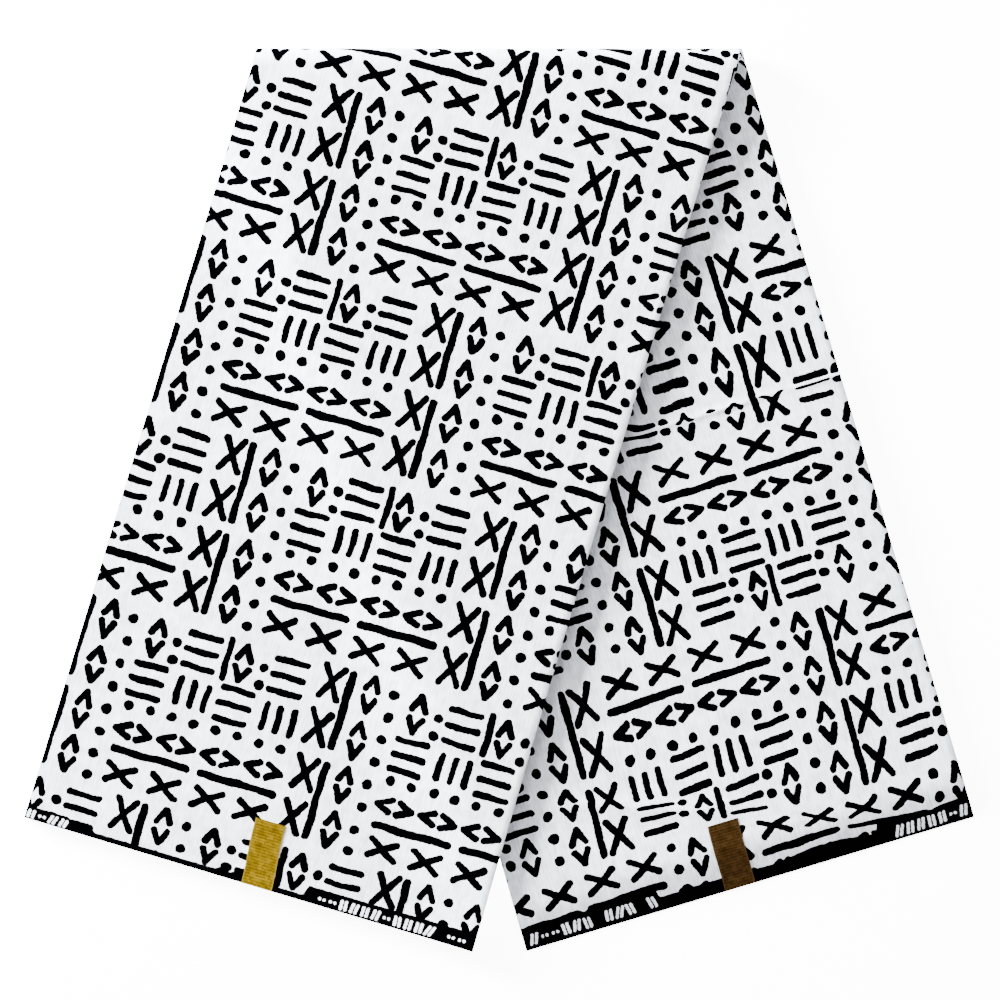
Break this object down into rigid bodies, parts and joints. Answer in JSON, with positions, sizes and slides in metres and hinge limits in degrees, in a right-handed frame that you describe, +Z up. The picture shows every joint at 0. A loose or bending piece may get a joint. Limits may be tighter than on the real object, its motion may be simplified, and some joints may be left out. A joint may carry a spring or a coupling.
{
  "type": "folded wax print fabric",
  "caption": "Cotton print cloth pleated into a flat pack of layers and folded over into a V, lying flat for storage, display or use as a prop.",
  "frame": {"origin": "on the surface that the cloth lies on, under the middle of the whole V", "axes": "+Z up off the surface, +X across the V from the front leg to the back leg, +Y towards the top fold"},
  "size_m": [0.618, 0.5874, 0.0212],
  "materials": {
    "cloth": "smooth waxed cotton in plain weave, cool white with a black print",
    "gold_ribbon": "woven ribbon with metallic gold thread",
    "bronze_ribbon": "woven ribbon with dull bronze thread"
  },
  "bodies": {
    "root": {"wax_print_cloth": "cloth", "gold_tab": "gold_ribbon", "bronze_tab": "bronze_ribbon"}
  },
  "joints": []
}
